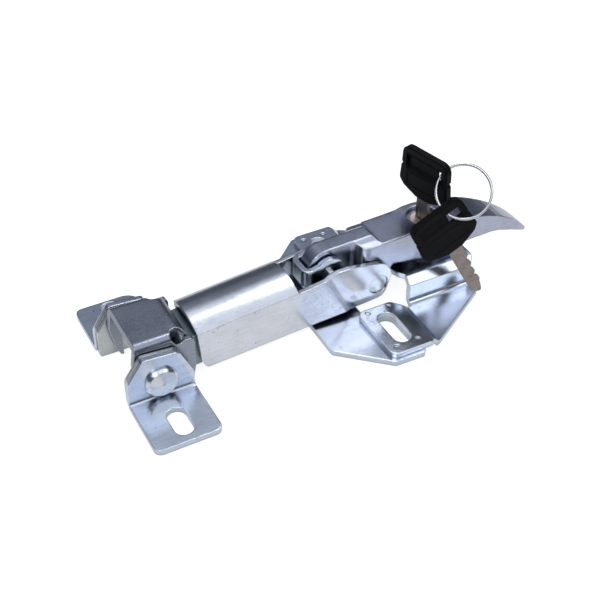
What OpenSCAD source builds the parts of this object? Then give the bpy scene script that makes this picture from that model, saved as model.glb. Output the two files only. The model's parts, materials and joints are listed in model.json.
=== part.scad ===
// Keyed over-centre hood latch. A long lever pulls a sprung claw down over a
// striker pin, and a cam lock holds the lever closed on a raised hump.
// Millimetres. Origin midway between the two base slots, on the mounting plane.
// X runs towards the handle tip, Y across the latch, Z up from the plane.

/* [Sheet metal] */
// Sheet thickness of the base, hump and striker plates
plate_t = 3.2; // [2.8:0.1:3.4]
// Sheet thickness of the link channel and draw channel
link_t = 3; // [2.6:0.1:3.1]
// Sheet thickness of the lever
lever_t = 2.5; // [2:0.1:2.8]
// Inside radius of the foot bends
bend_r = 2; // [1.5:0.1:2.5]
// Rounding of the plate corners
corner_r = 4; // [2:0.5:5]

/* [Fixing slots] */
// Width of all four fixing slots
slot_w = 10.5; // [8:0.5:11]
// End-to-end length of the base slots
base_slot_l = 26; // [16:1:28]
// Distance between the base slots
base_slot_gap = 78; // [74:1:80]
// End-to-end length of the striker slots
striker_slot_l = 20; // [14:1:20]
// Distance between the striker slots
striker_slot_gap = 94; // [90:1:95]

/* [Striker] */
// Distance of the striker pin from the base slots
striker_x = 130.6; // [130:0.1:131]
// Height of the striker pin
striker_z = 12.8; // [12.4:0.1:13.2]
// Radius of the striker pin
striker_pin_r = 4; // [3.5:0.1:4.2]
// Radius of the large pin head
striker_head_r = 9; // [7:0.5:10]
// Depth of the striker bracket along the latch
striker_depth = 36.4; // [35:0.2:38]
// Height of the ears
striker_ear_h = 29.7; // [28:0.5:31]
// Half the distance between the ears
striker_ear_y = 22.2; // [22:0.1:23]
// Reach of the feet from the centre line
striker_foot_y = 61.5; // [60:0.5:62]
// Reach of the far foot, which has a cut corner
striker_far_y = 58.6; // [58.4:0.1:59.6]
// Thickness of the cheek plates inside the ears
cheek_t = 2.8; // [2:0.1:2.8]

/* [Claw] */
// Half the outside width of the claw
claw_y = 18.9; // [18.5:0.1:19]
// Height of the claw top
claw_z = 33.4; // [32.5:0.1:34]
// Sheet thickness of the claw
claw_t = 3.2; // [2.8:0.1:3.2]
// Outside radius of the claw's long bends
claw_bend_r = 4; // [3.6:0.1:4.5]
// Radius of the corner relief holes
relief_r = 4.2; // [3:0.1:4.6]
// Gap between hook and striker pin on the pulling side
hook_gap = 1.5; // [1.3:0.1:1.8]
// Room behind the pin for the spring's travel
hook_room = 6.6; // [6.2:0.1:7]

/* [Link] */
// Half the outside width of the link channel
link_y = 15.9; // [15.8:0.1:16.2]
// Inward step of the link arms
joggle = 1; // [0.8:0.1:1.1]
// Outside radius of the arched top
arch_r = 30.9; // [29:0.1:33]
// Height of the arch bend above the arm pin
arch_z = 18.1; // [17.6:0.1:18.6]
// Half the outside width of the draw channel
draw_y = 12.4; // [12:0.1:12.5]
// Radius of the draw rod
rod_r = 3.5; // [3:0.1:4]
// Turns of the spring
spring_turns = 5; // [4:0.5:6]
// Wire radius of the spring
spring_wire_r = 1.1; // [0.9:0.1:1.3]

/* [Lever] */
// Half the width of the narrow front part
lever_narrow_y = 4.7; // [4.4:0.1:4.8]
// Half the width of the wide part over the link arms
lever_wide_y = 11.5; // [11.2:0.1:11.5]
// Height of the top at the front
lever_top_z = 44; // [43.8:0.1:44.2]
// Reach of the handle tip
lever_tip_x = 114.4; // [112:0.2:118]
// Radius of the rolled nose about the pivot
nose_r = 12.2; // [11.8:0.1:12.3]
// Radius of the lugs that carry the arm pin
lug_r = 8.4; // [7.8:0.1:8.6]

/* [Pivots] */
// Radius of the lever pivot and of the arm shaft
pivot_r = 4; // [3.5:0.1:4.2]
// Radius of the journals in the link arms
journal_r = 5.8; // [5.4:0.1:6]
// Radial running clearance of the pivots
run_gap = 0.08; // [0.05:0.01:0.1]

/* [Hinge bracket] */
// Half the outside width of the hinge bracket
bracket_y = 8.8; // [8.6:0.1:8.9]
// Radius of the rounded ears round the pivot
ear_r = 9; // [8.5:0.1:9.4]
// Right-hand end of the ears
ear_end_x = 8; // [7:0.2:9]
// Reach of the lower flanges from the centre line
flange_y = 61; // [60:0.2:62]

/* [Hump plate] */
// Half the outside width of the hump
hump_y = 22; // [21.5:0.1:22.5]
// Height of the hump
hump_z = 19.4; // [19.2:0.1:19.8]
// Left end of the hump wall
hump_x0 = 20.2; // [20:0.2:21]
// Right end of the hump
hump_x1 = 64; // [60:0.5:66]
// Half the width of the opening for the lock
catch_y = 9.9; // [9.8:0.1:10.2]

/* [Lock] */
// Distance of the lock from the base slots
lock_x = 40; // [39.8:0.1:40.4]
// Radius of the lock housing
housing_r = 9.1; // [8.6:0.1:9.1]
// Radius of the plug
plug_r = 6.93; // [6.6:0.01:6.95]
// Height of the plug face
plug_z = 41; // [40.6:0.1:41.2]
// Reach of the cam from the lock axis
cam_l = 12.6; // [11.8:0.1:12.8]
// Turn of the key slot seen from above
key_turn = -76.5; // [-80:0.5:-72]

/* [Keys] */
// Width of the key head
head_w = 35.5; // [34.5:0.5:36]
// Height of the key head
head_h = 29; // [28.5:0.5:30]
// Thickness of the key head
head_t = 4.8; // [4.4:0.2:5]
// Width of the key blade
blade_w = 8.4; // [7.6:0.1:8.4]
// Thickness of the key blade
blade_t = 2.3; // [2:0.1:2.4]
// Wire radius of the split ring
ring_wire_r = 0.7; // [0.65:0.05:0.75]

/* [Hidden] */
fn_round = 96;
eps = 0.01;

pivot_x = -23.5;
pivot_z = 31.6;
arm_x = 4;
arm_z = 17.3;
link_pitch = 5;

// Outside corner of a bend, in a sheet profile
function unit(v) = v / norm(v);
function corner(p0, p1, p2, r, n) = r <= 0 ? [p1] :
  let (a = unit(p0 - p1), b = unit(p2 - p1), th = acos(a * b),
       c = p1 + unit(a + b) * r / sin(th / 2),
       s = p1 + a * r / tan(th / 2) - c, e = p1 + b * r / tan(th / 2) - c,
       phi = 180 - th)
  [for (k = [0:n]) c + (sin((1 - k / n) * phi) * s + sin(k / n * phi) * e) / sin(phi)];
// Polygon with each corner rounded by its own radius
function rounded(p, r, n = 6) = [for (i = [0:len(p) - 1])
  for (q = corner(p[(i + len(p) - 1) % len(p)], p[i], p[(i + 1) % len(p)],
                  is_list(r) ? r[i] : r, n)) q];

// A profile in X and Z, carried across from y0 to y1
module along_y(y0, y1) {
  translate([0, y1, 0]) rotate([90, 0, 0]) linear_extrude(y1 - y0) children();
}
// A profile in Y and Z, carried along from x0 to x1
module along_x(x0, x1) {
  translate([x0, 0, 0]) rotate([90, 0, 90]) linear_extrude(x1 - x0) children();
}
module both_sides() {
  children();
  mirror([0, 1, 0]) children();
}
// Long hole across the latch
module slot(w, l) {
  for (s = [-1, 1]) translate([0, s * (l - w) / 2]) circle(d = w, $fn = fn_round);
  square([w, l - w], center = true);
}
// Quarter bend between an upright wall and a flat foot
module foot_bend(wall_y, t, r) {
  translate([wall_y + r, t + r]) intersection() {
    difference() {
      circle(r + t, $fn = fn_round);
      circle(r, $fn = fn_round);
    }
    translate([-r - t, -r - t]) square(r + t);
  }
}
// Rod across the latch
module cross_rod(x, z, r, y0, y1) {
  translate([x, y1, z]) rotate([90, 0, 0]) cylinder(r = r, h = y1 - y0, $fn = fn_round);
}

// Striker parts
striker_x0 = -striker_x - 18.4;
striker_x1 = striker_x0 + striker_depth;
striker_ear_out = striker_ear_y + plate_t;
ear_foot_z = plate_t + bend_r;
function ear_outline(z0, top, trim) = [
  [striker_x0 + trim, z0], [striker_x0 + trim, 16.1 - trim / 2],
  [striker_x0 + 9.4 + trim / 2, top - trim], [striker_x0 + 29.2 - trim / 2, top - 1.7 - trim],
  [striker_x1 + 0.4 - trim, 11.4], [striker_x1 - trim, 7.5], [striker_x1 - trim, z0]];

striker_cut_r = 9;
module striker_bracket(reach, r) {
  linear_extrude(plate_t) difference() {
    polygon(rounded([[striker_x0, striker_ear_out + bend_r], [striker_x0, reach],
      [striker_x1, reach], [striker_x1, striker_ear_out + bend_r]],
      [0, corner_r, r, 0]));
    translate([-striker_x + 0.4, striker_slot_gap / 2]) slot(slot_w, striker_slot_l);
  }
  along_x(striker_x0, striker_x1) foot_bend(striker_ear_out, plate_t, bend_r);
  difference() {
    along_y(striker_ear_y, striker_ear_out)
      polygon(rounded(ear_outline(ear_foot_z, striker_ear_h, 0), [0, 6, 3, 3, 3, 2, 0]));
    cross_rod(-striker_x, striker_z, striker_pin_r, 0, striker_foot_y);
  }
}
module striker_bracket_near() color("silver") mirror([0, 1, 0])
  striker_bracket(striker_foot_y, corner_r);
module striker_bracket_far() color("silver") striker_bracket(striker_far_y, striker_cut_r);

module striker_cheek() {
  difference() {
    along_y(striker_ear_y - cheek_t, striker_ear_y)
      polygon(rounded(ear_outline(0, striker_ear_h, 0.6), [2, 6, 3, 3, 3, 2, 2]));
    cross_rod(-striker_x, striker_z, striker_pin_r, 0, striker_foot_y);
  }
}
module striker_cheek_near() color("lightsteelblue") mirror([0, 1, 0]) striker_cheek();
module striker_cheek_far() color("lightsteelblue") striker_cheek();

striker_head_t = 2.8;
module striker_pin() {
  color("gainsboro") translate([-striker_x, 0, striker_z]) rotate([90, 0, 0])
    rotate_extrude($fn = fn_round) polygon([
      [0, -striker_ear_out - 1.8], [4.6, -striker_ear_out - 1.8],
      [6.4, -striker_ear_out - 0.7], [6.4, -striker_ear_out],
      [striker_pin_r, -striker_ear_out], [striker_pin_r, striker_ear_out],
      [striker_head_r, striker_ear_out],
      [striker_head_r, striker_ear_out + striker_head_t / 2],
      [striker_head_r - 1.3, striker_ear_out + striker_head_t],
      [0, striker_ear_out + striker_head_t + 0.3]]);
}

// Claw
claw_x0 = -140.4;
claw_x1 = -108.7;
claw_wall_x = -110.9;
claw_foot_z = 0.6;
claw_leg_z = 1.9;
claw_end_r = 6.5;
hook_x = -striker_x - striker_pin_r - hook_gap;
hook_open_x = -striker_x + striker_pin_r + hook_room;
hook_roof_z = striker_z + striker_pin_r + 0.7;

// Outline of the claw's side walls, with the notch that drops over the pin
module claw_side() {
  difference() {
    polygon(rounded([[claw_x0, claw_z], [claw_x0 - 1, 30], [claw_x0 - 2.4, 20.5],
      [claw_x0 + 0.4, 5.3], [claw_x0 + 2.8, claw_foot_z], [hook_x, claw_foot_z],
      [hook_x, claw_leg_z], [claw_x1 - 1.4, claw_leg_z], [claw_x1, 9],
      [claw_x1, claw_z - 7], [claw_x1 - 5, claw_z]],
      [0, 3, 9, 9, 2, 0, 0, 2, 3, 1, 3]));
    translate([hook_x, -eps]) square([hook_open_x - hook_x, hook_roof_z - 4]);
    translate([hook_x + 4, hook_roof_z - 8]) square([hook_open_x - hook_x - 8, 8]);
    for (x = [hook_x + 4, hook_open_x - 4])
      translate([x, hook_roof_z - 4]) circle(4, $fn = fn_round);
  }
}
// Section across the claw's top and side walls
module claw_section() {
  difference() {
    claw_outer(claw_y, claw_bend_r, 0);
    claw_outer(claw_y - claw_t, claw_bend_r - claw_t, claw_t);
  }
}
module claw_outer(y, r, drop) {
  translate([-y, -eps]) square([2 * y, claw_z - drop - r + eps]);
  translate([-y + r, 0]) square([2 * (y - r), claw_z - drop]);
  for (s = [-1, 1]) translate([s * (y - r), claw_z - drop - r]) circle(r, $fn = fn_round);
}
module claw() {
  color("slategray") difference() {
    union() {
      intersection() {
        along_x(claw_x0 - 4, claw_x1 + eps) claw_section();
        along_y(-claw_y - 1, claw_y + 1) claw_side();
        translate([claw_x0 - 5, -claw_y - 1, -1]) cube([claw_wall_x - claw_end_r - claw_x0
          + 5, 2 * claw_y + 2, claw_z + 2]);
      }
      intersection() {
        along_x(claw_wall_x - claw_end_r - eps, claw_x1) claw_section();
        along_y(-claw_y - 1, claw_y + 1) claw_side();
        both_sides() translate([claw_x0, claw_y - claw_t, -1])
          cube([40, claw_t + 1, claw_z - claw_bend_r - 0.2]);
      }
      along_y(-claw_y + claw_t + 0.5, claw_y - claw_t - 0.5) claw_end();
    }
    both_sides() translate([claw_wall_x - claw_end_r + 0.4, claw_y - 0.6, claw_z - 0.8])
      rotate([-45, 0, 0]) cylinder(r = relief_r, h = 16, center = true, $fn = fn_round);
    in_link() rod_hole(rod_r + 0.02);
  }
}
// End wall turned down from the claw's top, the draw rod pulls on it
module claw_end() {
  translate([claw_wall_x - claw_end_r, claw_z - claw_end_r]) intersection() {
    difference() {
      circle(claw_end_r, $fn = fn_round);
      circle(claw_end_r - claw_t, $fn = fn_round);
    }
    square(claw_end_r);
  }
  translate([claw_wall_x - claw_t, claw_leg_z + 1]) square([claw_t, claw_z - claw_end_r
    - claw_leg_z - 1]);
}

// Link and draw parts
// Link frame: origin at the arm pin, first axis towards the handle
module in_link() {
  translate([arm_x, 0, arm_z]) rotate([0, -link_pitch, 0]) children();
}
link_x0 = -108.5;
cover_x1 = -49;
link_in_y = link_y - link_t;
arch_cz = arch_z - sqrt(arch_r * arch_r - link_y * link_y);
rod_z = 4;

module link_section() {
  difference() {
    intersection() {
      translate([0, arch_cz]) circle(arch_r, $fn = 2 * fn_round);
      translate([-link_y, -9]) square([2 * link_y, 40]);
    }
    intersection() {
      translate([0, arch_cz]) circle(arch_r - link_t, $fn = 2 * fn_round);
      translate([-link_in_y, -10]) square([2 * link_in_y, 40]);
    }
  }
}
link_side = [[link_x0, -1], [link_x0 + 2, -6.6], [-44, -8.2],
  [-8, -9.4], [3, -9.2], [9.4, 5.5], [4.5, 13.9], [-17, 19.4], [-24, 19.9],
  [-32, 18.2], [-44, 17.6], [cover_x1 + 0.6, 17.6], [cover_x1, 18.2], [cover_x1, arch_z + 14],
  [link_x0, arch_z + 14]];
link_side_r = [3, 3, 3, 10, 6, 7, 8, 8, 6, 6, 2, 0, 0, 0, 0];
module link_channel() {
  color("lightsteelblue") in_link() difference() {
    union() {
      intersection() {
        along_x(link_x0, cover_x1 + 1.1) link_section();
        along_y(-link_y, link_y) polygon(rounded(link_side, link_side_r));
      }
      both_sides() for (k = [0:step_n]) arm_strip(k);
    }
    cross_rod(0, 0, journal_r + run_gap, -link_y - 1, link_y + 1);
  }
}
// The arms step inwards in small strips, along a slanting line
step_n = 4;
step_w = 0.8;
function step_x(k) = -30 + (k - step_n / 2) * step_w;
module arm_strip(k) {
  y1 = link_y - joggle * k / step_n;
  intersection() {
    along_y(y1 - link_t, y1) polygon(rounded(link_side, link_side_r));
    along_y(0, link_y + 1) polygon([
      [k == 0 ? cover_x1 + 1 : step_x(k) - 6, k == 0 ? arch_z - 0.8 : 30],
      [k == 0 ? cover_x1 + 8 : step_x(k) - 6, 30], [k == step_n ? 20 : step_x(k + 1) - 6, 30],
      [k == step_n ? 20 : step_x(k + 1) + 10, -10], [k == 0 ? cover_x1 + 1 : step_x(k) + 10, -10]]);
  }
}

spring_plate_x = -87;
rod_washer_x = -60;
module rod_hole(r) {
  translate([-125, 0, rod_z]) rotate([0, 90, 0]) cylinder(r = r, h = 80, $fn = fn_round);
}
module spring_plate() {
  color("slategray") in_link() difference() {
    along_x(spring_plate_x - link_t, spring_plate_x)
      translate([-link_in_y, -5.5]) square([2 * link_in_y, 19.5]);
    rod_hole(rod_r + 0.6);
  }
}
// Round wire carried along a helix
spring_coil_r = 7.6;
module link_spring() {
  n = 22;
  m = 10;
  st = round(spring_turns * n);
  run = rod_washer_x - spring_plate_x - 2 * spring_wire_r;
  pts = [for (i = [0:st]) let (a = 360 * i / n, c = run * i / st + spring_wire_r)
    for (j = [0:m - 1]) let (b = 360 * j / m, r = spring_coil_r + spring_wire_r * cos(b))
      [c + spring_wire_r * sin(b), r * cos(a), r * sin(a)]];
  side = [for (i = [0:st - 1]) for (j = [0:m - 1]) let (k = (j + 1) % m)
    [i * m + j, i * m + k, (i + 1) * m + k, (i + 1) * m + j]];
  color("dimgray") in_link() translate([spring_plate_x, 0, rod_z])
    polyhedron(pts, concat([[for (j = [m - 1:-1:0]) j]], side,
      [[for (j = [0:m - 1]) st * m + j]]));
}
module draw_channel() {
  color("lightgray") intersection() {
    in_link() along_x(-120, spring_plate_x - link_t - 1.5) difference() {
      translate([-draw_y, -5]) square([2 * draw_y, 20.4]);
      translate([-draw_y + link_t, -6]) square([2 * (draw_y - link_t), 21.4 - link_t]);
    }
    translate([claw_wall_x, -20, -10]) cube([60, 40, 60]);
  }
}
module draw_rod() {
  color("dimgray") in_link() {
    translate([-124, 0, rod_z]) rotate([0, 90, 0])
      cylinder(r = rod_r, h = 124 - 50, $fn = fn_round);
    translate([-124, 0, rod_z]) rotate([0, 90, 0])
      cylinder(r = rod_r + 3, h = 4.7, $fn = fn_round);
  }
}
module rod_washer() {
  color("silver") in_link() translate([rod_washer_x, 0, rod_z]) rotate([0, 90, 0])
    difference() {
      cylinder(r = 9.4, h = 1.8, $fn = fn_round);
      translate([0, 0, -1]) cylinder(r = rod_r, h = 4, $fn = fn_round);
    }
}
module rod_nut() {
  color("gainsboro") in_link() translate([rod_washer_x + 1.8, 0, rod_z]) rotate([0, 90, 0])
    difference() {
      cylinder(d = 13 / cos(30), h = 5.5, $fn = 6);
      translate([0, 0, -1]) cylinder(r = rod_r, h = 8, $fn = fn_round);
    }
}

// Hinge bracket and pivot
web_x0 = -39.4;
web_x1 = web_x0 + plate_t;
web_bend_r = 5;
web_z0 = 25.5;
web_z1 = 36.5;
ear_x0 = web_x0 + web_bend_r;
bracket_in_y = bracket_y - plate_t;
flange_out = [[-37.5, bracket_y + bend_r], [-37.7, 37], [-11.5, 60.5],
  [6.5, flange_y], [9, 57], [9, 19.4], [-ear_end_x, 19.4], [-ear_end_x, bracket_y + bend_r]];

module hinge_bracket() {
  color("silver") difference() {
    union() {
      both_sides() {
        linear_extrude(plate_t) difference() {
          polygon(rounded(flange_out, [0, 3, 3, 2, 2, 0, 2, 0]));
          translate([0, base_slot_gap / 2]) slot(slot_w, base_slot_l);
        }
        along_x(ear_x0, -ear_end_x) foot_bend(bracket_y, plate_t, bend_r);
        along_y(bracket_in_y, bracket_y) bracket_ear();
      }
      intersection() {
        linear_extrude(60) web_plan();
        along_y(-bracket_y - 1, bracket_y + 1)
          translate([web_x0 - 1, web_z0]) square([web_bend_r + 1 + eps, web_z1 - web_z0]);
      }
      along_y(-7.4, 7.4) polygon([[web_x0, web_z0 + 0.6], [web_x1, web_z0 + 0.6],
        [web_x1, web_z0 - 0.4], [-40.7, 17.4], [-43, 18.8]]);
    }
    cross_rod(pivot_x, pivot_z, pivot_r, -20, 20);
  }
}
module bracket_ear() {
  translate([pivot_x, pivot_z]) circle(ear_r, $fn = fn_round);
  polygon([[ear_x0, ear_foot_z], [ear_x0, web_z1], [pivot_x - ear_r * 0.72, pivot_z + ear_r * 0.69],
    [pivot_x, pivot_z], [pivot_x + ear_r * 0.99, pivot_z + 1.2], [-ear_end_x, 15],
    [-ear_end_x, ear_foot_z]]);
}
// Front web seen from above, with its two bends
module web_plan() {
  translate([web_x0, -bracket_y + web_bend_r]) square([plate_t, 2 * (bracket_y - web_bend_r)]);
  for (s = [-1, 1]) translate([ear_x0, s * (bracket_y - web_bend_r)]) intersection() {
    difference() {
      circle(web_bend_r, $fn = fn_round);
      circle(web_bend_r - plate_t, $fn = fn_round);
    }
    translate([-web_bend_r, s > 0 ? 0 : -web_bend_r]) square([web_bend_r + eps, web_bend_r]);
  }
}
pivot_end_r = 2.5;
pivot_end_y = 11.1;
module pivot_pin() {
  color("gainsboro") translate([pivot_x, 0, pivot_z]) rotate([90, 0, 0])
    rotate_extrude($fn = fn_round) polygon([
      [0, 1.6 - pivot_end_y], [1.1, 1.6 - pivot_end_y], [1.1, -pivot_end_y],
      [pivot_end_r - 0.4, -pivot_end_y], [pivot_end_r, 0.4 - pivot_end_y],
      [pivot_end_r, -bracket_y], [pivot_r, -bracket_y], [pivot_r, bracket_y],
      [pivot_end_r, bracket_y], [pivot_end_r, pivot_end_y - 0.4],
      [pivot_end_r - 0.4, pivot_end_y], [1.1, pivot_end_y], [1.1, pivot_end_y - 1.6],
      [0, pivot_end_y - 1.6]]);
}
washer_t = 0.55;
module pivot_washer() {
  difference() {
    cross_rod(pivot_x, pivot_z, 7.6, bracket_in_y - washer_t, bracket_in_y);
    cross_rod(pivot_x, pivot_z, pivot_r, 0, 20);
  }
}
module pivot_washer_near() color("silver") mirror([0, 1, 0]) pivot_washer();
module pivot_washer_far() color("silver") pivot_washer();

// Hump plate
wall_foot_y = hump_y + 3;
hump_foot_x1 = 62;
wing_x0 = 17.2;
function hump_line(y, z, c) = [[y, plate_t + 3], [y, z - c], [y - c * 0.95, z],
  [-y + c * 0.95, z], [-y, z - c], [-y, plate_t + 3]];
module hump_plate() {
  color("silver") difference() {
    union() {
      both_sides() {
        translate([0, 0, plate_t]) linear_extrude(plate_t) polygon(rounded([[-12.3, 19.4],
          [9, 19.4], [13.8, 25], [13.8, 58.6], [-12.3, 58.6]], [4.5, 3, 0, 2, 4.5]));
        along_y(25, 56.8) polygon([[13.2, plate_t], [13.2, 2 * plate_t],
          [13.9, 2 * plate_t], [wing_x0 + 0.6, plate_t], [wing_x0 + 0.6, 0], [wing_x0 - 0.5, 0],
          [14, plate_t - 0.4]]);
        linear_extrude(plate_t) polygon(rounded([[wing_x0, 25], [wing_x0, 56.8], [19, 56.3],
          [hump_foot_x1, 29.5], [hump_foot_x1, wall_foot_y], [hump_x0, wall_foot_y]],
          [0, 0, 1, 2, 0, 0]));
        along_x(hump_x0, hump_foot_x1) foot_bend(hump_y, plate_t, 3);
      }
      intersection() {
        along_x(hump_x0, hump_x1) difference() {
          polygon(hump_line(hump_y, hump_z, 4.4));
          translate([0, -eps]) polygon(hump_line(hump_y - plate_t, hump_z - plate_t + eps, 2.6));
        }
        union() {
          translate([0, 0, 10]) linear_extrude(20) polygon(rounded([[hump_x0, -hump_y - 1],
            [hump_x1, -hump_y - 1], [hump_x1, hump_y + 1], [hump_x0, hump_y + 1]], [0, 7, 7, 0]));
          translate([hump_x0, -30, 0]) cube([hump_foot_x1 - hump_x0 - 2, 60, 12]);
        }
      }
      translate([0, 0, hump_z - plate_t]) linear_extrude(plate_t) polygon(rounded([
        [hump_x0 + eps, -16.4], [17.4, -13], [15.8, -8], [15.8, 8], [17.4, 13],
        [hump_x0 + eps, 16.4]], [0, 4, 4, 4, 4, 0]));
    }
    both_sides() translate([0, base_slot_gap / 2, -1]) linear_extrude(10)
      slot(slot_w, base_slot_l);
    for (s = [-1, 1], x = [-6.9, 6.3], y = [-15.6, 15.2])
      translate([x, s * (base_slot_gap / 2 - 1 + y), 2 * plate_t - 0.6])
        cylinder(r = 1.5, h = 2, $fn = 24);
    translate([0, 0, hump_z - plate_t - 1]) linear_extrude(plate_t + 2) catch_opening();
  }
}
module catch_opening() {
  translate([lock_x, 0]) circle(catch_y, $fn = fn_round);
  translate([lock_x, -catch_y]) square([1.8, 2 * catch_y]);
  translate([lock_x + 1.8, 0]) circle(catch_y, $fn = fn_round);
  translate([lock_x - cam_l - 0.9, -4.5]) square([cam_l, 9]);
}

// Lever and arm shaft
narrow_x = -9;
wide_x = 0;
// Half widths along the lever, seen from above
lever_plan = [[-40, lever_narrow_y], [narrow_x, lever_narrow_y], [-6.8, 5.4], [-5.2, 7.2], [-4, 9.6],
  [-2.6, 11], [wide_x, lever_wide_y],
  [29, lever_wide_y], [34, lever_wide_y + 1], [lock_x, lever_wide_y + 1.4],
  [46, lever_wide_y + 1], [51, lever_wide_y], [74.4, 10.6], [86, 9], [96, 7.7],
  [104.7, 6.1], [110, 4.6], [lever_tip_x - 1, 2.9], [lever_tip_x + 1, 1.2]];
module lever_outline(inset) {
  polygon(concat([for (p = lever_plan) [p[0], p[1] - inset]],
    [for (i = [len(lever_plan) - 1:-1:0]) [lever_plan[i][0], inset - lever_plan[i][1]]]));
}
lever_top = [[4.4, 44.7], [5.6, 43.8], [7, 42.2], [20, 42.6], [34, 43.4], [50, 43.2], [58, 42.3],
  [66, 40.6], [74.4, 37.9], [80, 35.8], [86, 33.2], [91, 30.6], [96, 27.6], [100.5, 24.6],
  [104.7, 21.2], [109, 17.1], [112, 14], [lever_tip_x, 11.4], [lever_tip_x - 0.9, 10]];
lever_low = [[107.4, 13.4], [100, 17.2], [90, 21.4], [82.7, 23.2], [72, 24.2], [50, 23.9],
  [32.6, 23.6], [21.3, 24.6], [15, 26]];
boss_r = 8;
// Side view of the lever, rolled nose at the front and lugs below
module lever_side() {
  polygon(concat(
    [for (a = [168:-6:102]) [pivot_x + nose_r * cos(a), pivot_z + nose_r * sin(a)]],
    [[pivot_x + 1, lever_top_z]], lever_top, lever_low,
    [for (a = [25:-7.5:-195]) [arm_x + lug_r * cos(a), arm_z + lug_r * sin(a)]], [[-7, 27]],
    [for (a = [-60:-10:-170]) [pivot_x + boss_r * cos(a), pivot_z + boss_r * sin(a)]]));
}
module lever_hollow() {
  nr = nose_r - lever_t;
  polygon(concat([[pivot_x - nose_r - 4, pivot_z - 12], [pivot_x - nr, pivot_z - 4]],
    [for (a = [170:-10:100]) [pivot_x + nr * cos(a), pivot_z + nr * sin(a)]],
    [for (p = lever_top) if (p[0] < 108) [p[0] - (p[0] > 60 ? lever_t * 0.45 : 0),
      p[1] - lever_t * (p[0] > 60 ? 0.95 : 1)]],
    [[106, 13], [110, -5], [pivot_x - nose_r - 4, -5]]));
}
// Slope beside the front ridge, moved down by d for the inside face
module shoulder_slope(d) {
  y0 = lever_narrow_y - d * 0.5;
  y1 = lever_wide_y + 1;
  both_sides() along_x(narrow_x - 3, 7) polygon([[y0, 60], [y0, lever_top_z + 0.4 - d],
    [y0 + 2.6, lever_top_z - 1 - d], [y1, 41.2 - d], [y1, 60]]);
}
module lever_block(d) {
  difference() {
    intersection() {
      linear_extrude(60) lever_outline(d);
      along_y(-20, 20) children();
    }
    shoulder_slope(d);
  }
}
module lever() {
  color("lightslategray") difference() {
    lever_block(0) lever_side();
    lever_block(lever_t) lever_hollow();
    translate([lock_x, 0, 30]) cylinder(r = housing_r + 0.1, h = 20, $fn = fn_round);
    cross_rod(pivot_x, pivot_z, pivot_r + run_gap, -20, 20);
    cross_rod(arm_x, arm_z, pivot_r, -20, 20);
  }
}
module arm_shaft() {
  color("dimgray") cross_rod(arm_x, arm_z, pivot_r, -13, 13);
}
// Shouldered bush that turns in the arm and sits on the shaft's end
module arm_journal() {
  difference() {
    cross_rod(arm_x, arm_z, journal_r, lever_wide_y, link_y - joggle - 0.8);
    cross_rod(arm_x, arm_z, pivot_r, 0, 13);
  }
}
module arm_journal_near() color("gainsboro") mirror([0, 1, 0]) arm_journal();
module arm_journal_far() color("gainsboro") arm_journal();

// Lock
housing_z0 = 15.8;
cam_z = 15.3;
cam_t = 2;
slot_gap = 0.25;
plug_floor_z = cam_z + 2.1;
module lock_housing() {
  color("gainsboro") translate([lock_x, 0, 0]) difference() {
    union() {
      translate([0, 0, housing_z0])
        cylinder(r = housing_r, h = plug_z - housing_z0, $fn = fn_round);
      translate([0, 0, 37.6]) cylinder(r = housing_r + 1, h = 2.4, $fn = fn_round);
    }
    translate([0, 0, housing_z0 - 1]) cylinder(r = plug_r + 0.07, h = 40, $fn = fn_round);
  }
}
module lock_plug() {
  color("rosybrown") translate([lock_x, 0, 0]) difference() {
    union() {
      translate([0, 0, cam_z]) cylinder(r = plug_r, h = plug_z - cam_z, $fn = fn_round);
      translate([-2.5, -2.5, cam_z - cam_t]) cube([5, 5, cam_t + 1]);
    }
    rotate(key_turn) translate([-blade_w / 2 - slot_gap, -blade_t / 2 - slot_gap, plug_floor_z])
      cube([blade_w + 2 * slot_gap, blade_t + 2 * slot_gap, 40]);
    translate([0, 0, 10]) cylinder(r = 1.5, h = 6.7, $fn = 32);
  }
}
module lock_cam() {
  color("silver") translate([lock_x, 0, cam_z - cam_t]) difference() {
    union() {
      cylinder(r = 6.2, h = cam_t, $fn = fn_round);
      translate([-cam_l, -3.5, 0]) cube([cam_l, 7, cam_t]);
    }
    translate([-2.5, -2.5, -1]) cube([5, 5, cam_t + 2]);
  }
}
module cam_screw() {
  color("dimgray") translate([lock_x, 0, 0]) difference() {
    union() {
      translate([0, 0, cam_z - cam_t - 2]) cylinder(r = 4, h = 2, $fn = 48);
      translate([0, 0, cam_z - cam_t - 1]) cylinder(r = 1.5, h = 4, $fn = 32);
    }
    translate([-5, -0.5, cam_z - cam_t - 3]) cube([10, 1, 1.8]);
  }
}

// Keys and ring
// Key frame: first axis across the head, third axis up, origin at the shoulder
blade_l = 36.5;
tip_gap = 0.35;
head_z = plug_floor_z + tip_gap + blade_l;
spare_drop = 16.14;
ring_rise = 14.74;
ring_slot_v = 20.2;
ring_slot_h = 5.2;
ring_slot_w = 25.6;
slot_flare = 1.9;
module in_key() {
  translate([lock_x, 0, head_z]) rotate([0, 0, key_turn]) children();
}
module in_spare() {
  translate([lock_x + 2.96, -28.52, head_z - spare_drop]) rotate([-6.63, -28.16, -3.4]) children();
}
module blade_shape() {
  h = blade_w / 2;
  along_y(-blade_t / 2, blade_t / 2) polygon([[-h, 8], [h, 8], [h, -9], [h - 1.3, -10.4],
    [h - 1.3, -12], [h - 0.4, -13.4], [h - 0.4, -15], [h - 1.9, -17], [h - 1.9, -18.4],
    [h - 0.9, -19.8], [h - 0.9, -21.4], [h - 2.1, -23], [h - 2.1, -24.6], [h - 0.7, -26.4],
    [h - 0.7, -28], [h - 1.7, -29.8], [h - 1.7, -31], [1.2, 1 - blade_l], [0, 0.3 - blade_l],
    [-1.2, 1 - blade_l], [-h, 4 - blade_l]]);
}
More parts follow.
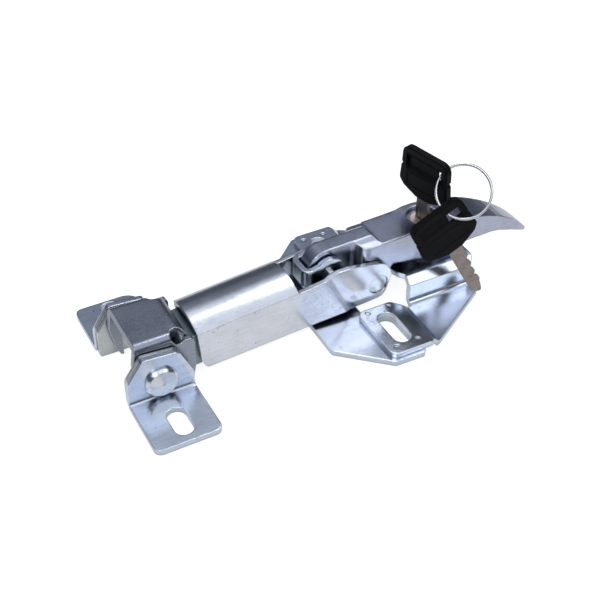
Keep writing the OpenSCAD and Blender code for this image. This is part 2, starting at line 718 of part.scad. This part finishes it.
module grooved_blade() {
  difference() {
    blade_shape();
    for (s = [-1, 1]) translate([-1.9, s * blade_t / 2 - 0.35, -24]) cube([1.9, 0.7, 22]);
  }
}
shoulder_v = 7;
notch_v = 17.2;
head_side = [[4.8, 0], [head_w / 2 - 3.2, shoulder_v - 3.4], [head_w / 2, shoulder_v],
  [head_w / 2 - 0.8, notch_v - 1.1], [head_w / 2 - 1.7, notch_v - 0.7],
  [head_w / 2 - 1.8, notch_v + 0.7], [head_w / 2 - 1, notch_v + 1.1],
  [head_w / 2 - 1.5, head_h]];
head_side_r = [1, 4, 3, 0.4, 0, 0, 0.4, 5];
head_n = len(head_side) - 1;
head_line = concat(head_side, [for (k = [head_n:-1:0]) [-head_side[k][0], head_side[k][1]]]);
head_line_r = concat(head_side_r, [for (k = [head_n:-1:0]) head_side_r[k]]);
// Plastic head, its ring slot widened towards both faces
module head_shape() {
  rim = 0.7;
  k = 1 - 2 / head_w;
  hw = ring_slot_w / 2;
  hh = ring_slot_h / 2;
  difference() {
    union() {
      along_y(-head_t / 2 + rim, head_t / 2 - rim) polygon(rounded(head_line, head_line_r, 5));
      along_y(-head_t / 2, head_t / 2) translate([0, head_h / 2]) scale([k, k])
        translate([0, -head_h / 2]) polygon(rounded(head_line, head_line_r, 5));
    }
    translate([-hw, -head_t, ring_slot_v - hh]) cube([2 * hw, 2 * head_t, 2 * hh]);
    for (s = [-1, 1]) {
      translate([-hw + 0.5, s * head_t / 2 - 0.4, 5.4]) cube([2 * hw - 1, 0.8, 7.6]);
      for (z = [13.7, 14.9, 25.1]) translate([-hw, s * head_t / 2 - 0.3, z])
        cube([2 * hw, 0.6, 0.6]);
      translate([0, s * head_t / 2, ring_slot_v]) rotate([45, 0, 0])
        cube([2 * hw, (hh + slot_flare) * sqrt(2), (hh + slot_flare) * sqrt(2)], center = true);
    }
    translate([-blade_w / 2, -blade_t / 2, -1]) cube([blade_w, blade_t, 9]);
  }
}
module key_blade() color("gray") in_key() grooved_blade();
module key_head() color("black") in_key() head_shape();
module spare_blade() color("gray") in_spare() grooved_blade();
module spare_head() color("black") in_spare() head_shape();

ring_r = 14.88;
module key_ring() {
  color("gainsboro") translate([lock_x + 10.36, -21.66, head_z + ring_rise]) rotate([0, 133.575, 56.794])
    for (s = [-1, 1]) translate([0, 0, s * ring_wire_r * 0.94])
      rotate_extrude($fn = fn_round) translate([ring_r, 0]) circle(ring_wire_r, $fn = 24);
}

striker_bracket_near();
striker_bracket_far();
striker_cheek_near();
striker_cheek_far();
striker_pin();
hinge_bracket();
hump_plate();
pivot_pin();
pivot_washer_near();
pivot_washer_far();
lever();
arm_shaft();
arm_journal_near();
arm_journal_far();
lock_housing();
lock_plug();
lock_cam();
cam_screw();
key_blade();
key_head();
key_ring();
spare_blade();
spare_head();
link_channel();
spring_plate();
link_spring();
claw();
draw_channel();
draw_rod();
rod_washer();
rod_nut();
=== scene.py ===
import json
from math import radians

import bpy
from mathutils import Euler, Matrix, Vector


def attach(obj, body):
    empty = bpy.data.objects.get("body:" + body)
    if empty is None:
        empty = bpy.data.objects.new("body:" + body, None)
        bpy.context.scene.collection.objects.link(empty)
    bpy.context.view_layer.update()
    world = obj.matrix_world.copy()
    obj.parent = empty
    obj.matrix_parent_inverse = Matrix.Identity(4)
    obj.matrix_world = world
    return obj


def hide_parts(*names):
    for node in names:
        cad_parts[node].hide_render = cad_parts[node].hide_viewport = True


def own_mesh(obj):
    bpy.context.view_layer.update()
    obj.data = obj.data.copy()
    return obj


# Lengths and places are in metres, turns in degrees, and colours are linear
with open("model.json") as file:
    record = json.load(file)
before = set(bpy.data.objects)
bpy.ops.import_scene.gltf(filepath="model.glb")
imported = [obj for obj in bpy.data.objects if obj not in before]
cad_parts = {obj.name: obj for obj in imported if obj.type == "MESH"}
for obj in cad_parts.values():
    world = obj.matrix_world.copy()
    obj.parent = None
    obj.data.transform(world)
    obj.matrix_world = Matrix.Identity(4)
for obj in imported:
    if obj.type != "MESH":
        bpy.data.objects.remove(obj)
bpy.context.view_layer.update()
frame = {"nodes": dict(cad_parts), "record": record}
nodes = frame["nodes"]

WHITE = (1, 1, 1, 1)


def placed(place, turn):
    """Matrix that turns about x, y and z, then moves to a place."""
    return Matrix.Translation(place) @ Euler([radians(a) for a in turn]).to_matrix().to_4x4()


def added(name, data):
    """New object in the scene for a mesh, lamp or camera."""
    made = bpy.data.objects.new(name, data)
    bpy.context.scene.collection.objects.link(made)
    return made


class Shader:
    """A material's or world's node tree, with short helpers for the nodes used over and over."""

    # Sockets of the mix node that count when it mixes colours
    MIX_SHARE = 0
    MIX_FIRST = 6
    MIX_SECOND = 7
    MIX_COLOUR = 2
    # How far away a wall still puts painted shade into a narrow gap
    NARROW_GAP = 0.0022

    def __init__(self, owner, output="ShaderNodeOutputMaterial", coordinates="Object"):
        self.owner = owner
        owner.use_nodes = True
        self.tree = owner.node_tree
        self.tree.nodes.clear()
        self.output = self.node(output)
        self.where = self.node("ShaderNodeTexCoord").outputs[coordinates]

    def node(self, kind, **settings):
        made = self.tree.nodes.new(kind)
        for key, value in settings.items():
            setattr(made, key, value)
        return made

    def link(self, source, target):
        self.tree.links.new(source, target)

    def put(self, socket, value):
        """Give a socket another node's output, or a constant."""
        if hasattr(value, "is_linked"):
            self.link(value, socket)
        else:
            socket.default_value = value

    def stretched(self, scale):
        """Coordinates scaled by one factor for each axis."""
        mapping = self.node("ShaderNodeMapping")
        mapping.inputs["Scale"].default_value = scale
        self.link(self.where, mapping.inputs["Vector"])
        return mapping.outputs[0]

    def noise(self, scale, detail, rough, where=None):
        texture = self.node("ShaderNodeTexNoise")
        texture.inputs["Scale"].default_value = scale
        texture.inputs["Detail"].default_value = detail
        texture.inputs["Roughness"].default_value = rough
        self.link(where or self.where, texture.inputs["Vector"])
        return texture.outputs[0]

    def ramp(self, value, low, high, start=0.0, end=1.0):
        """Goes from start to end while the value goes from low to high."""
        remap = self.node("ShaderNodeMapRange")
        self.link(value, remap.inputs["Value"])
        remap.inputs["From Min"].default_value = low
        remap.inputs["From Max"].default_value = high
        remap.inputs["To Min"].default_value = start
        remap.inputs["To Max"].default_value = end
        return remap.outputs[0]

    def mix(self, share, first, second):
        """The first colour, with a share of the second."""
        blend = self.node("ShaderNodeMix", data_type="RGBA")
        self.put(blend.inputs[self.MIX_SHARE], share)
        self.put(blend.inputs[self.MIX_FIRST], first)
        self.put(blend.inputs[self.MIX_SECOND], second)
        return blend.outputs[self.MIX_COLOUR]

    def math(self, operation, first, second):
        result = self.node("ShaderNodeMath", operation=operation)
        self.put(result.inputs[0], first)
        self.put(result.inputs[1], second)
        return result.outputs[0]

    def times(self, value, factor):
        return self.math("MULTIPLY", value, factor)

    def edges(self, radius):
        """Rounded normal, and a mask that is 1 on sharp edges."""
        bevel = self.node("ShaderNodeBevel", samples=6)
        bevel.inputs["Radius"].default_value = radius
        geometry = self.node("ShaderNodeNewGeometry")
        agreement = self.node("ShaderNodeVectorMath", operation="DOT_PRODUCT")
        self.link(bevel.outputs[0], agreement.inputs[0])
        self.link(geometry.outputs["Normal"], agreement.inputs[1])
        return bevel.outputs[0], self.ramp(agreement.outputs["Value"], low=0.985, high=0.80)

    def openness(self, reach):
        """1 in the open, less where other surfaces stand within reach."""
        around = self.node("ShaderNodeAmbientOcclusion", samples=8)
        around.inputs["Distance"].default_value = reach
        return around.outputs["AO"]

    def hollows(self, reach):
        """Mask that is 1 deep in corners and in narrow gaps, where painted shade darkens the
        plating.
        """
        corners = self.ramp(self.openness(reach), low=0.70, high=0.15)
        gaps = self.ramp(self.openness(self.NARROW_GAP), low=0.62, high=0.30)
        return self.math("MAXIMUM", corners, gaps)

    def bump(self, height, strength, distance, normal):
        relief = self.node("ShaderNodeBump")
        relief.inputs["Strength"].default_value = strength
        relief.inputs["Distance"].default_value = distance
        self.link(height, relief.inputs["Height"])
        self.link(normal, relief.inputs["Normal"])
        return relief.outputs[0]

    def show(self, shader):
        """Make a shader node what the tree gives out."""
        self.link(shader.outputs[0], self.output.inputs[0])

    def finish(self, **values):
        """The material, with a Principled shader of the values given, whose names have an
        underscore for each space."""
        principled = self.node("ShaderNodeBsdfPrincipled")
        for key, value in values.items():
            self.put(principled.inputs[key.replace("_", " ")], value)
        self.show(principled)
        return self.owner


def rgba(tint, factor=1.0):
    """A tint as an opaque colour, lighter or darker by a factor."""
    return (tint[0] * factor, tint[1] * factor, tint[2] * factor, 1.0)


def plated(name, tint, rough, mottle=0.07, grain=1.0, bevel=0.0006, marks=0.75, reach=0.008):
    """Zinc plate: soft clouds and fine spangle, rolling streaks, small dark marks, bright edges
    that are partly wear and partly painted highlight, and painted teal shade in its hollows.
    Mottle, grain and marks are the strengths of clouds, bumps and marks, bevel is how wide an edge
    looks, and reach how far a corner's painted shade goes."""
    cloud_dark = rgba(tint, 1 - mottle)
    cloud_light = rgba(tint, 1 + mottle * 0.6)
    spangle_light = rgba(tint, 1.28)
    streak_dark = rgba(tint, 0.7)
    mark_grey = (0.12, 0.13, 0.15, 1)
    wear_and_highlight = (0.95, 0.96, 0.98, 1)
    painted_shade_teal = (0.085, 0.12, 0.13, 1)
    s = Shader(bpy.data.materials.new(name))
    clouds = s.noise(scale=55.0, detail=5.0, rough=0.6)
    spangle = s.noise(scale=1500.0, detail=3.0, rough=0.7)
    streaks = s.noise(scale=90.0, detail=4.0, rough=0.6, where=s.stretched((1.0, 9.0, 9.0)))
    spots = s.noise(scale=420.0, detail=6.0, rough=0.75)
    normal, edge = s.edges(radius=bevel)
    body = s.mix(s.ramp(clouds, low=0.35, high=0.68), cloud_dark, cloud_light)
    body = s.mix(s.ramp(spangle, low=0.35, high=0.7, end=0.45), body, spangle_light)
    body = s.mix(s.ramp(streaks, low=0.45, high=0.8, end=0.35), body, streak_dark)
    body = s.mix(s.ramp(spots, low=0.62, high=0.69, end=marks), body, mark_grey)
    # Bright colour on sharp edges: partly wear, partly painted highlight
    body = s.mix(s.times(edge, 0.6), body, wear_and_highlight)
    # Painted shade: teal darkening in corners and narrow gaps
    body = s.mix(s.times(s.hollows(reach), 0.75), body, painted_shade_teal)
    cloud_rough = s.ramp(clouds, low=0.3, high=0.7, start=rough * 0.85, end=rough * 1.15)
    spangle_rough = s.ramp(spangle, low=0.3, high=0.75, start=-0.02, end=0.05)
    bumped = s.bump(spangle, strength=0.06 * grain, distance=0.0004, normal=normal)
    bumped = s.bump(clouds, strength=0.05 * grain, distance=0.0015, normal=bumped)
    return s.finish(Base_Color=body, Metallic=1.0, Normal=bumped,
                    Roughness=s.math("ADD", cloud_rough, spangle_rough))


def polished(name, tint, rough):
    """Bare metal: fine scuffs that run level, and bright edges, partly wear and partly painted
    highlight.
    """
    scuff_dark = rgba(tint, 0.62)
    wear_and_highlight = (0.95, 0.94, 0.93, 1)
    s = Shader(bpy.data.materials.new(name))
    scuffs = s.noise(scale=700.0, detail=5.0, rough=0.7, where=s.stretched((1.0, 1.0, 5.0)))
    normal, edge = s.edges(radius=0.0003)
    body = s.mix(s.ramp(scuffs, low=0.45, high=0.75, end=0.5), rgba(tint), scuff_dark)
    # Bright colour on sharp edges: partly wear, partly painted highlight
    body = s.mix(s.times(edge, 0.4), body, wear_and_highlight)
    return s.finish(Base_Color=body, Metallic=1.0,
                    Roughness=s.ramp(scuffs, low=0.3, high=0.8, start=rough, end=rough * 2.4),
                    Normal=s.bump(scuffs, strength=0.12, distance=0.0003, normal=normal))


def plastic(name):
    """Key head: black moulded plastic with a fine grain, a little haze and paler edges."""
    black = (0.003, 0.003, 0.0035, 1)
    haze_black = (0.007, 0.007, 0.008, 1)
    edge_grey = (0.018, 0.018, 0.02, 1)
    s = Shader(bpy.data.materials.new(name))
    grain = s.noise(scale=2600.0, detail=2.0, rough=0.6)
    haze = s.noise(scale=160.0, detail=4.0, rough=0.6)
    normal, edge = s.edges(radius=0.0007)
    body = s.mix(s.ramp(haze, low=0.4, high=0.75), black, haze_black)
    body = s.mix(s.times(edge, 0.5), body, edge_grey)
    return s.finish(Base_Color=body, Specular_IOR_Level=0.12,
                    Roughness=s.ramp(haze, low=0.3, high=0.8, start=0.42, end=0.6),
                    Normal=s.bump(grain, strength=0.25, distance=0.0003, normal=normal))


def nickel(name):
    """Key blade: worn nickel over brass, with fine long scratches."""
    dull = (0.26, 0.225, 0.205, 1)
    clean = (0.38, 0.34, 0.32, 1)
    scratch_bright = (0.62, 0.59, 0.58, 1)
    edge_brass = (0.7, 0.66, 0.6, 1)
    s = Shader(bpy.data.materials.new(name))
    scratches = s.noise(scale=260.0, detail=5.0, rough=0.65, where=s.stretched((7.0, 7.0, 1.0)))
    wear = s.noise(scale=190.0, detail=5.0, rough=0.7)
    normal, edge = s.edges(radius=0.0003)
    body = s.mix(s.ramp(wear, low=0.4, high=0.72), dull, clean)
    body = s.mix(s.ramp(scratches, low=0.55, high=0.8, end=0.6), body, scratch_bright)
    body = s.mix(s.times(edge, 0.35), body, edge_brass)
    return s.finish(Base_Color=body, Metallic=1.0,
                    Roughness=s.ramp(wear, low=0.3, high=0.8, start=0.3, end=0.48),
                    Normal=s.bump(scratches, strength=0.2, distance=0.0002, normal=normal))


# Tint, roughness and finish of each metal slot, tuned by comparing renders with the photo
PLATED = {
    "zinc_plate": dict(tint=(0.66, 0.72, 0.83), rough=0.19, bevel=0.0010, reach=0.011),
    "zinc_cheek": dict(tint=(0.62, 0.65, 0.66), rough=0.30, mottle=0.14),
    "zinc_claw": dict(tint=(0.31, 0.335, 0.40), rough=0.27, mottle=0.08, grain=2.2, bevel=0.0009),
    "zinc_link": dict(tint=(0.72, 0.74, 0.80), rough=0.17, mottle=0.09, marks=0.9, bevel=0.0010),
    "zinc_lever": dict(tint=(0.47, 0.50, 0.61), rough=0.21, mottle=0.10, grain=1.6, bevel=0.0014),
    "rivet_steel": dict(tint=(0.70, 0.74, 0.78), rough=0.18, bevel=0.0005),
    "pivot_steel": dict(tint=(0.70, 0.73, 0.75), rough=0.17, bevel=0.0004),
    "draw_steel": dict(tint=(0.30, 0.37, 0.41), rough=0.30, mottle=0.2),
    "cam_steel": dict(tint=(0.5, 0.5, 0.52), rough=0.35),
}
POLISHED = {
    "spring_steel": dict(tint=(0.30, 0.31, 0.34), rough=0.25),
    "housing_steel": dict(tint=(0.46, 0.44, 0.46), rough=0.20),
    "plug_brass": dict(tint=(0.90, 0.77, 0.73), rough=0.28),
    "ring_steel": dict(tint=(0.72, 0.73, 0.75), rough=0.12),
}
looks = {"key_nickel": nickel("key_nickel"), "key_plastic": plastic("key_plastic")}
looks.update({name: plated(name, **values) for name, values in PLATED.items()})
looks.update({name: polished(name, **values) for name, values in POLISHED.items()})

for part in frame["record"]["subparts"]:
    mesh = nodes[part["node"]].data
    mesh.materials.clear()
    mesh.materials.append(looks[part["material_slot"]])

# A key's own frame has its first axis across the head, its third up the key, and its origin at
# the blade's shoulder. The keys' places and the head's slot are as in the CAD. The web sinks a
# little into the slot's walls.
LOCK_X = 0.040
SHOULDER_Z = 0.05425
KEY_TURN = (0, 0, -76.5)
SPARE_OFFSET = (0.00296, -0.02852, -0.01614)
SPARE_TURN = (-6.63, -28.16, -3.4)
SLOT_HALF_WIDTH = 0.0128
SLOT_HALF_HEIGHT = 0.0026
SLOT_MIDDLE = 0.0202
WEB_HALF_THICK = 0.0007
WEB_SINK = 0.0001
# Faces of a box whose corners are listed with the last axis changing first
BOX_FACES = [(0, 1, 3, 2), (4, 6, 7, 5), (0, 4, 5, 1), (2, 3, 7, 6), (0, 2, 6, 4), (1, 5, 7, 3)]


def slot_web(name, body, place, turn, reach):
    """Thin floor of a head's ring slot, short of the end that the ring goes through."""
    across = (-SLOT_HALF_WIDTH - WEB_SINK, reach)
    through = (-WEB_HALF_THICK, WEB_HALF_THICK)
    half_height = SLOT_HALF_HEIGHT + WEB_SINK
    upward = (SLOT_MIDDLE - half_height, SLOT_MIDDLE + half_height)
    corners = [Vector((u, n, v)) for u in across for n in through for v in upward]
    in_key = placed(place, turn)
    mesh = bpy.data.meshes.new(name)
    mesh.from_pydata([in_key @ corner for corner in corners], [], BOX_FACES)
    mesh.materials.append(looks["key_plastic"])
    web = added(name, mesh)
    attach(web, body)


key_place = Vector((LOCK_X, 0, SHOULDER_Z))
slot_web("key_slot_web", "key", key_place, KEY_TURN, reach=0.0090)
slot_web("spare_slot_web", "spare_key", key_place + Vector(SPARE_OFFSET), SPARE_TURN, reach=0.0050)


def sprung_coil():
    """The claw's spring, as a piece of its own that moves with the claw, like its washer end.
    The CAD part's spring is hidden."""
    coil = added("coil_spring", nodes["link_spring"].data.copy())
    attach(coil, "claw")
    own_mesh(coil)
    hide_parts("link_spring")


sprung_coil()

FLOOR_SIZE = 8
FLOOR_GAP = 0.0002
# Distances from the floor's middle between which its look in reflections changes
NEAR_LATCH = 0.22
OPEN_FLOOR = 0.45


def white_floor():
    """Floor that is white to the camera and keeps the latch's shadow. In the metal's reflections
    it is bright near the latch and dim further out."""
    bpy.ops.mesh.primitive_plane_add(size=FLOOR_SIZE, location=(0, 0, -FLOOR_GAP))
    floor = bpy.context.object
    floor.name = "floor"
    s = Shader(bpy.data.materials.new("floor_white"))
    rays = s.node("ShaderNodeLightPath").outputs
    away = s.node("ShaderNodeVectorMath", operation="LENGTH")
    s.link(s.where, away.inputs[0])

    def by_ray(seen, close, far):
        """One value where the camera sees the floor, and others where metal reflects it."""
        reflected = s.ramp(away.outputs["Value"], NEAR_LATCH, OPEN_FLOOR, close, far)
        return s.math("ADD", s.times(rays["Is Camera Ray"], seen),
                      s.times(rays["Is Glossy Ray"], reflected))

    paper = s.node("ShaderNodeBsdfDiffuse")
    paper.inputs["Color"].default_value = (0.9, 0.9, 0.905, 1)
    glow = s.node("ShaderNodeEmission")
    glow.inputs["Color"].default_value = WHITE
    s.link(by_ray(seen=1.45, close=0.85, far=0.15), glow.inputs["Strength"])
    both = s.node("ShaderNodeMixShader")
    s.link(by_ray(seen=0.6, close=0.6, far=0.9), both.inputs[0])
    s.link(paper.outputs[0], both.inputs[1])
    s.link(glow.outputs[0], both.inputs[2])
    s.show(both)
    floor.data.materials.append(s.owner)


def studio_world():
    """Surroundings that the metal reflects, dark at the horizon and bright overhead. They are
    white to the camera."""
    dark = (0.075, 0.085, 0.11, 1)
    grey = (0.165, 0.18, 0.225, 1)
    bright = (0.80, 0.84, 0.92, 1)
    world = bpy.data.worlds.new("studio")
    bpy.context.scene.world = world
    s = Shader(world, output="ShaderNodeOutputWorld", coordinates="Generated")
    direction = s.node("ShaderNodeSeparateXYZ")
    s.link(s.where, direction.inputs[0])
    sky = s.node("ShaderNodeValToRGB")
    s.link(direction.outputs["Z"], sky.inputs[0])
    # A stop's place is a direction's height, from 0 at the horizon to 1 overhead
    stops = sky.color_ramp.elements
    stops[0].position = 0.30
    stops[0].color = dark
    stops[1].position = 0.84
    stops[1].color = bright
    for height in (0.52, 0.66):
        stops.new(height).color = grey
    rays = s.node("ShaderNodeLightPath").outputs
    background = s.node("ShaderNodeBackground")
    s.link(s.mix(rays["Is Camera Ray"], sky.outputs[0], WHITE), background.inputs["Color"])
    background.inputs["Strength"].default_value = 1.0
    s.show(background)


LIGHTS_AIM = (-0.02, 0.0, 0.02)


def softbox(name, place, size, power):
    """Rectangular lamp, of a size in metres and a power in watts, aimed at the latch."""
    lamp = bpy.data.lights.new(name, "AREA")
    lamp.shape = "RECTANGLE"
    lamp.size, lamp.size_y = size
    lamp.energy = power
    box = added(name, lamp)
    box.location = place
    box.rotation_mode = "QUATERNION"
    box.rotation_quaternion = (Vector(LIGHTS_AIM) - Vector(place)).to_track_quat("-Z", "Y")


# The camera was fitted to the photo's straight edges. Its lens and sensor are in millimetres.
CAMERA_PLACE = (-0.26221, -0.42332, 0.41361)
CAMERA_TURN = (49.9899, -0.1225, -27.8571)
CAMERA_LENS = 67.74
CAMERA_SENSOR = 36.0


def photo_camera():
    """Camera that sees the latch as the photo shows it."""
    optics = bpy.data.cameras.new("camera")
    optics.sensor_width = CAMERA_SENSOR
    optics.lens = CAMERA_LENS
    optics.dof.use_dof = False
    optics.clip_start = 0.01
    optics.clip_end = 20
    camera = added("camera", optics)
    camera.matrix_world = placed(CAMERA_PLACE, CAMERA_TURN)
    bpy.context.scene.camera = camera


white_floor()
studio_world()
softbox("overhead", place=(0.36, 0.38, 1.05), size=(0.42, 0.50), power=2.3)
softbox("right", place=(0.60, -0.74, 0.80), size=(0.40, 0.40), power=0.95)
softbox("low", place=(0.05, -0.80, 0.75), size=(0.55, 0.55), power=0.6)
softbox("front", place=(-0.8, -0.7, 0.95), size=(0.9, 0.7), power=4.2)
photo_camera()
bpy.context.scene.view_settings.view_transform = "Standard"
